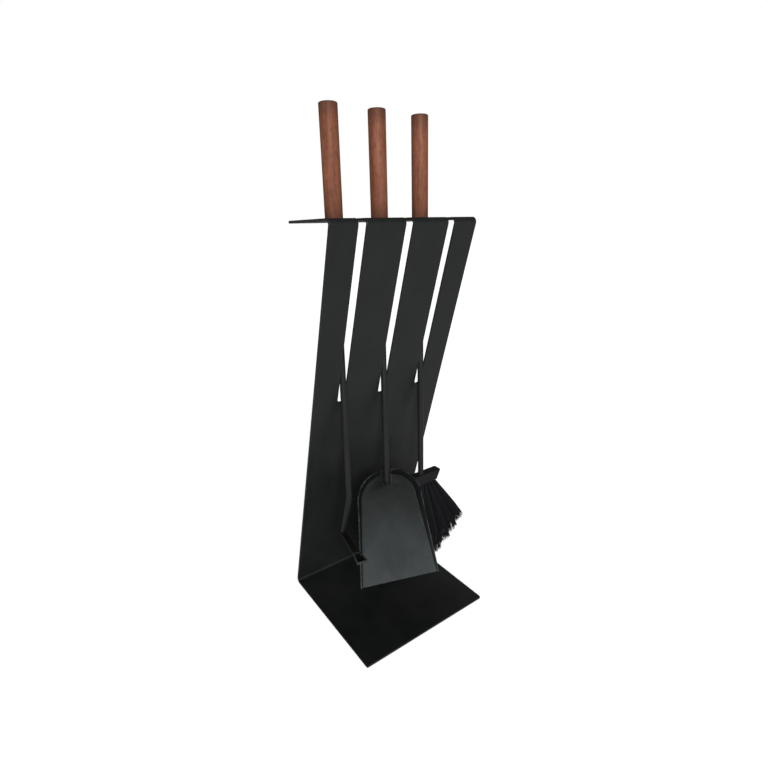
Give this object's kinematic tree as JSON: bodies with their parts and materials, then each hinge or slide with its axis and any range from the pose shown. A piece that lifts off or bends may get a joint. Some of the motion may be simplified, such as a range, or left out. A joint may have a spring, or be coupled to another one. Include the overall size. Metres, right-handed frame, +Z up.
{
  "type": "fireplace tool set",
  "caption": "Folded black steel stand with a poker, a shovel and a brush hanging in its open slots by round wooden handles.",
  "frame": {"origin": "centre of the base sheet's underside, on the floor", "axes": "+Z up, -Y to the front, towards the open edge of the base; +X to the right as the set is faced, towards the brush"},
  "size_m": [0.2428, 0.1968, 0.646],
  "materials": {
    "powder_coated_steel": "satin black powder coat",
    "painted_steel": "satin black paint",
    "pan_steel": "satin black paint",
    "stained_wood": "stained and oiled hardwood",
    "insert_brass": "plain turned",
    "block_black": "matt black",
    "bristle_black": "black fibre"
  },
  "bodies": {
    "stand": {"stand_sheet": "powder_coated_steel"},
    "poker": {"poker_handle": "stained_wood", "poker_insert": "insert_brass", "poker_rod": "painted_steel", "poker_bar": "painted_steel", "poker_tip": "painted_steel"},
    "shovel": {"shovel_handle": "stained_wood", "shovel_insert": "insert_brass", "shovel_rod": "painted_steel", "shovel_pan": "pan_steel", "shovel_weld": "pan_steel"},
    "brush": {"brush_handle": "stained_wood", "brush_insert": "insert_brass", "brush_rod": "painted_steel", "brush_block": "block_black", "tufts_front": "bristle_black", "tufts_back": "bristle_black"}
  },
  "joints": [
    {"name": "poker_lift", "type": "slide", "parent": "stand", "child": "poker", "axis": [0, 0, 1], "range_m": [0, 0.08]},
    {"name": "shovel_lift", "type": "slide", "parent": "stand", "child": "shovel", "axis": [0, 0, 1], "range_m": [0, 0.035]},
    {"name": "brush_lift", "type": "slide", "parent": "stand", "child": "brush", "axis": [0, 0, 1], "range_m": [0, 0.038]}
  ]
}
